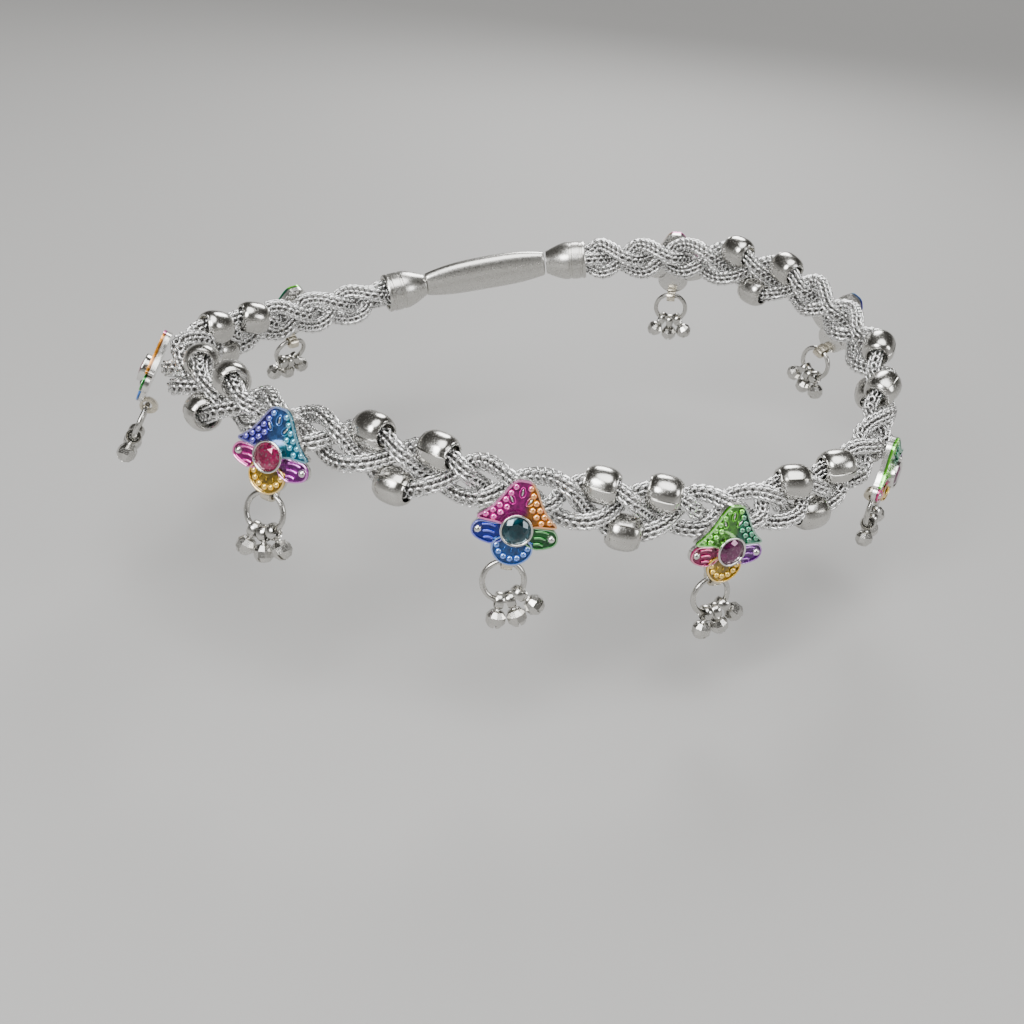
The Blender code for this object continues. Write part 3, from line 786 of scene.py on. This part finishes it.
def cut_stone():
    """Pattern of the stone, its table towards +Z."""
    bpy.ops.mesh.primitive_cone_add(vertices=stone_sides, radius1=stone_radius, radius2=0,
                                    depth=stone_girdle - stone_tip_height, rotation=(math.pi, 0, 0),
                                    location=(0, 0, (stone_girdle + stone_tip_height) / 2))
    stone = bpy.context.object
    bpy.ops.object.transform_apply()
    bpy.ops.object.mode_set(mode="EDIT")
    for reach, height, corners, turn in stone_rings:
        bpy.ops.mesh.primitive_circle_add(
            vertices=corners, radius=stone_radius * reach,
            location=(0, 0, stone_girdle + stone_crown * height),
            rotation=(0, 0, turn * 2 * math.pi / corners))
    bpy.ops.mesh.select_all(action="SELECT")
    bpy.ops.mesh.convex_hull()
    bpy.ops.mesh.select_all(action="SELECT")
    bpy.ops.mesh.dissolve_limited(angle_limit=stone_flat)
    bpy.ops.mesh.normals_make_consistent(inside=False)
    bpy.ops.object.mode_set(mode="OBJECT")
    return stone


stone_pattern = cut_stone()
stone_finishes = {colour: stone_finish(colour) for colour in stone_colours}
for number, colour in enumerate(motif_stones, start=1):
    stone = set_copy(stone_pattern, f"cut_stone_{number}", plate_frames[number], stone_finishes[colour])
    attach(stone, "root")
    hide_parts(f"stone_{number}")
bpy.data.objects.remove(stone_pattern)

# Jump rings, round silver wire wound to a ring, sawn through and closed again. The two cut ends
# meet inside the strap behind the shield, and the bells hang from the lower half.
ring_radius = 0.0025
ring_wire = 0.00036
ring_steps = 72
wire_sides = 14
cut_across = 0.00033
cut_half = 0.00011

bpy.ops.mesh.primitive_torus_add(major_segments=ring_steps, minor_segments=wire_sides,
                                 major_radius=ring_radius, minor_radius=ring_wire)
ring_pattern = bpy.context.object
bpy.ops.object.shade_smooth()
bpy.ops.object.mode_set(mode="EDIT")
bpy.ops.mesh.select_all(action="DESELECT")
shape = bmesh.from_edit_mesh(ring_pattern.data)
for face in shape.faces:
    middle = face.calc_center_median()
    face.select_set(abs(middle.x - cut_across) < cut_half and middle.y > 0)
bmesh.update_edit_mesh(ring_pattern.data)
bpy.ops.mesh.delete(type="FACE")
bpy.ops.mesh.select_all(action="SELECT")
bpy.ops.mesh.fill_holes(sides=wire_sides)
bpy.ops.object.mode_set(mode="OBJECT")
ring_frames = {}
for number, plate in plate_frames.items():
    centre = Vector(corners_of(f"jump_ring_{number}").mean(axis=0))
    ring_frames[number] = Matrix.Translation(centre) @ plate.to_3x3().to_4x4()
    ring = set_copy(ring_pattern, f"silver_ring_{number}", ring_frames[number], bead_finish)
    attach(ring, "root")
    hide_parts(f"jump_ring_{number}")
bpy.data.objects.remove(ring_pattern)

# Ghungroo bells, three to a ring. Each is a faceted hollow silver ball with a slit across its
# foot, soldered under a stout eye that hangs on the jump ring.
bell_radius = 0.00130
bell_reach = 0.00244
bell_step = math.radians(30)
bell_sides = 10
bell_heights = (-52, -18, 18, 52)
slit_half = 0.00014
slit_start = 0.35
slit_depth = 0.00035
eye_sides = 20
eye_edge = math.radians(60)
eye_hole = 0.00066
eye_outside = 0.00110
eye_half = 0.00052
neck_sides = 12
neck_profile = ((0.0, 0.0007), (0.00042, 0.0008), (0.00034, 0.00115), (0.00048, 0.0014), (0.0, 0.0015))


def bell():
    """Pattern of one bell, hung from the origin on its eye's middle, its foot towards +Z."""
    outline = [(0.0, -bell_radius)]
    for degrees in bell_heights:
        turn = math.radians(degrees)
        outline.append((bell_radius * math.cos(turn), bell_radius * math.sin(turn)))
    outline.append((0.0, bell_radius))
    ball = turned("ball", outline, bell_sides, closed=False)
    bpy.ops.object.mode_set(mode="EDIT")
    for side in (-1, 1):
        bpy.ops.mesh.select_all(action="SELECT")
        bpy.ops.mesh.bisect(plane_co=(0, side * slit_half, 0), plane_no=(0, 1, 0))
    bpy.ops.mesh.select_all(action="DESELECT")
    shape = bmesh.from_edit_mesh(ball.data)
    for face in shape.faces:
        middle = face.calc_center_median()
        face.select_set(abs(middle.y) < slit_half and middle.z > bell_radius * slit_start)
    bmesh.update_edit_mesh(ball.data)
    bpy.ops.mesh.extrude_region_shrink_fatten(TRANSFORM_OT_shrink_fatten={"value": -slit_depth})
    bpy.ops.object.mode_set(mode="OBJECT")
    ball.data.transform(Matrix.Translation((0, 0, bell_reach)))
    eye_profile = (
        (eye_hole, -eye_half * 0.5), (eye_outside * 0.9, -eye_half), (eye_outside, -eye_half * 0.5),
        (eye_outside, eye_half * 0.5), (eye_outside * 0.9, eye_half), (eye_hole, eye_half * 0.5),
    )
    eye = turned("eye", eye_profile, eye_sides, closed=True)
    eye.data.transform(Matrix.Rotation(math.pi / 2, 4, "X"))
    only(eye)
    bpy.ops.object.shade_smooth_by_angle(angle=eye_edge)
    neck = turned("neck", neck_profile, neck_sides, closed=False)
    return joined([ball, eye, neck], "bell")


bell_pattern = bell()
for number, hang in ring_frames.items():
    middle = hang.inverted() @ Vector(corners_of(f"ghungroo_{number}").mean(axis=0))
    lean = math.atan2(middle.x, -middle.y)
    bells = []
    for place in (-1, 0, 1):
        turn = lean + place * bell_step
        outward = Vector((math.sin(turn), -math.cos(turn), 0))
        along_wire = Vector((math.cos(turn), math.sin(turn), 0))
        matrix = Matrix((along_wire.cross(outward), along_wire, outward)).transposed().to_4x4()
        matrix.translation = outward * ring_radius
        bells.append(set_copy(bell_pattern, "bell", hang @ matrix, bead_finish))
    cluster = joined(bells, f"silver_bells_{number}")
    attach(cluster, "root")
    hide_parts(f"ghungroo_{number}")
bpy.data.objects.remove(bell_pattern)

# End caps, two turned silver cups crimped over the gathered ends of the strands, each with a
# rolled mouth and two ring grooves.
cap_length = 0.0065
cap_profile = (
    (0.00242, 0.0030), (0.00242, 0.0002), (0.00252, 0.0), (0.00288, 0.0), (0.00301, 0.0002),
    (0.00301, 0.0005), (0.00290, 0.0006), (0.00290, 0.0009), (0.00301, 0.0010), (0.00301, 0.0022),
    (0.00290, 0.0023), (0.00290, 0.0026), (0.00301, 0.0027), (0.00298, 0.0034), (0.00270, 0.0044),
    (0.00225, 0.0055), (0.00186, 0.0063), (0.00180, cap_length), (0.0, cap_length), (0.0, 0.0030),
)
cap_sides = 40
cap_edge = math.radians(40)
cap_tip_corners = 10


def satin_silver(place):
    brushed = place.grain(3000, detail=4)
    return {
        "Base Color": brushed.blend((0.52, 0.51, 0.48), (0.68, 0.67, 0.64)),
        "Roughness": brushed * 0.18 + 0.20,
        "Normal": brushed.bump(0.2, 0.00003),
    }


cap_pattern = turned("cap", cap_profile, cap_sides, closed=False)
only(cap_pattern)
bpy.ops.object.shade_smooth_by_angle(angle=cap_edge)
satin_finish = new_finish("satin silver", {"Metallic": 1.0}, satin_silver)
clasp_low, clasp_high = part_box("clasp")
clasp_middle = np.array((clasp_low + clasp_high) / 2)
for number in (1, 2):
    corners = corners_of(f"end_cap_{number}")
    order = np.linalg.norm(corners - clasp_middle, axis=1).argsort()
    tip = corners[order[:cap_tip_corners]].mean(axis=0)
    towards_mouth = Vector(corners.mean(axis=0) - tip).normalized()
    turn = (-towards_mouth).to_track_quat("Z", "X").to_matrix().to_4x4()
    mouth = Matrix.Translation(Vector(tip) + towards_mouth * cap_length)
    cap = set_copy(cap_pattern, f"silver_cap_{number}", mouth @ turn, satin_finish)
    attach(cap, "root")
    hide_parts(f"end_cap_{number}")
bpy.data.objects.remove(cap_pattern)

# Clasp, a plain silver barrel between the end caps that follows the back of the loop. It is
# turned from thick wire and bent, with rounded ends, and has the caps' satin finish.
clasp_rounding = 0.0003
clasp_corner = math.radians(50)

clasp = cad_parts["clasp"].copy()
clasp.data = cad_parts["clasp"].data.copy()
clasp.name = "barrel_clasp"
# The copy keeps the solid's form, but none of its marks
for key in list(clasp.keys()):
    del clasp[key]
bpy.context.scene.collection.objects.link(clasp)
only(clasp)
bpy.ops.object.mode_set(mode="EDIT")
bpy.ops.mesh.select_all(action="SELECT")
bpy.ops.mesh.remove_doubles(threshold=merge_distance)
bpy.ops.mesh.tris_convert_to_quads()
bpy.ops.object.mode_set(mode="OBJECT")
edges = clasp.modifiers.new("edges", "BEVEL")
edges.width = clasp_rounding
edges.segments = 2
edges.limit_method = "ANGLE"
edges.angle_limit = clasp_corner
rounding = clasp.modifiers.new("rounding", "SUBSURF")
rounding.levels = 2
rounding.render_levels = 2
apply_modifiers(clasp)
bpy.ops.object.shade_smooth()
clasp.data.materials.clear()
clasp.data.materials.append(satin_finish)
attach(clasp, "root")
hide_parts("clasp")
